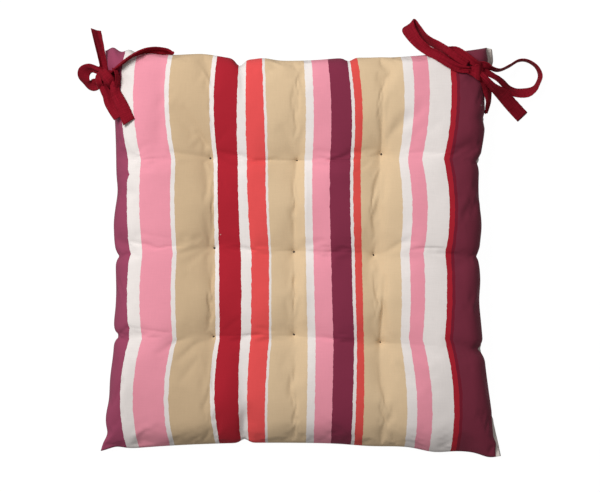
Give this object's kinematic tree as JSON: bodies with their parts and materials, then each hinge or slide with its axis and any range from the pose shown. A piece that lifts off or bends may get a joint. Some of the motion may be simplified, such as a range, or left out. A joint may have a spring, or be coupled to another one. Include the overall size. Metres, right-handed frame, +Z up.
{
  "type": "tufted chair pad with ties",
  "caption": "Square tufted seat pad in striped cotton, filled and drawn in at its sides, with narrow cotton tapes tied in bows at its back corners.",
  "frame": {"origin": "on the surface that the pad lies on, at the middle of the rectangle round the pad and its ties", "axes": "+Z up out of the striped face, +Y towards the back edge with the ties, +X to the right seen from above"},
  "size_m": [0.4654, 0.44, 0.0462],
  "materials": {
    "cover": "matt printed cotton canvas in stripes, with a plain ecru back",
    "tape": "matt wine-red cotton tape"
  },
  "bodies": {
    "root": {"pad": "cover", "left_tie": "tape", "right_tie": "tape"}
  },
  "joints": []
}
